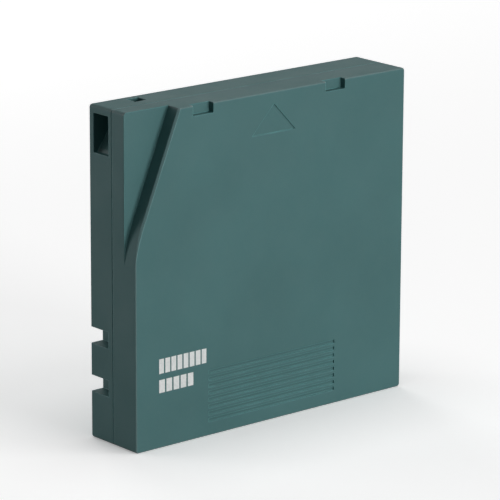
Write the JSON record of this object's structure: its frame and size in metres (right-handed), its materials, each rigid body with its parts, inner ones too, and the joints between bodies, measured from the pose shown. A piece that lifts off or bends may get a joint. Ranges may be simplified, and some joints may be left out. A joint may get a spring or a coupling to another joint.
{
  "type": "data tape cartridge",
  "caption": "Flat square tape cartridge with a stepped front corner, latch and handling notches, a sliding tape door, a toothed reel lock and a leader pin.",
  "frame": {"origin": "the middle of the rear edge, on which the cartridge stands; X and Y are centred on the case", "axes": "+Z from the rear edge to the end that enters the drive, +Y out of the lower face, where the reel's teeth show, +X towards the side with the tape door"},
  "size_m": [0.1054, 0.0216, 0.102],
  "materials": {
    "case_plastic": "fine matt texture, dark teal",
    "door_plastic": "fine matt texture, dark teal",
    "switch_plastic": "plain moulded",
    "reel_plastic": "smooth moulded, off white",
    "clutch_steel": "stamped",
    "spring_steel": "drawn wire and strip",
    "pin_steel": "turned and polished",
    "screw_steel": "black coated",
    "wound_tape": "smooth wound edge",
    "brake_plastic": "smooth moulded",
    "pad_plastic": "smooth moulded",
    "clamp_plastic": "smooth moulded",
    "board_laminate": "coated laminate",
    "coil_copper": "bare copper track",
    "chip_resin": "moulded resin"
  },
  "bodies": {
    "case": {"upper_shell": "case_plastic", "lower_shell": "case_plastic", "door_spring": "spring_steel", "brake_spring": "spring_steel", "leader_pin": "pin_steel", "pin_clamp": "clamp_plastic", "leader_tape": "wound_tape", "pin_clip_lower": "spring_steel", "pin_clip_upper": "spring_steel", "memory_board": "board_laminate", "memory_coil": "coil_copper", "memory_chip": "chip_resin", "case_screws": "screw_steel"},
    "door": {"tape_door": "door_plastic"},
    "switch": {"write_protect_switch": "switch_plastic"},
    "reel": {"reel_hub": "reel_plastic", "reel_upper_flange": "reel_plastic", "clutch_plate": "clutch_steel", "tape_pack": "wound_tape"},
    "brake": {"reel_brake": "brake_plastic"},
    "pad": {"release_pad": "pad_plastic"}
  },
  "joints": [
    {"name": "door_slide", "type": "slide", "parent": "case", "child": "door", "axis": [0, 0, -1], "range_m": [0, 0.0215], "stiffness_N_per_m": 15, "springref_m": -0.02, "deforming": ["door_spring"]},
    {"name": "write_protect_slide", "type": "slide", "parent": "case", "child": "switch", "axis": [1, 0, 0], "range_m": [0, 0.0048]},
    {"name": "reel_spin", "type": "hinge", "parent": "case", "child": "reel", "pos_m": [0, 0, 0.051], "axis": [0, 1, 0], "continuous": true},
    {"name": "brake_lift", "type": "slide", "parent": "case", "child": "brake", "axis": [0, -1, 0], "range_m": [0, 0.002], "stiffness_N_per_m": 300, "springref_m": -0.004, "deforming": ["brake_spring"]},
    {"name": "pad_lift", "type": "slide", "parent": "reel", "child": "pad", "axis": [0, -1, 0], "range_m": [0, 0.002]}
  ],
  "couplings": [
    {"joint": "pad_lift", "follows": "brake_lift", "ratio": 1}
  ]
}
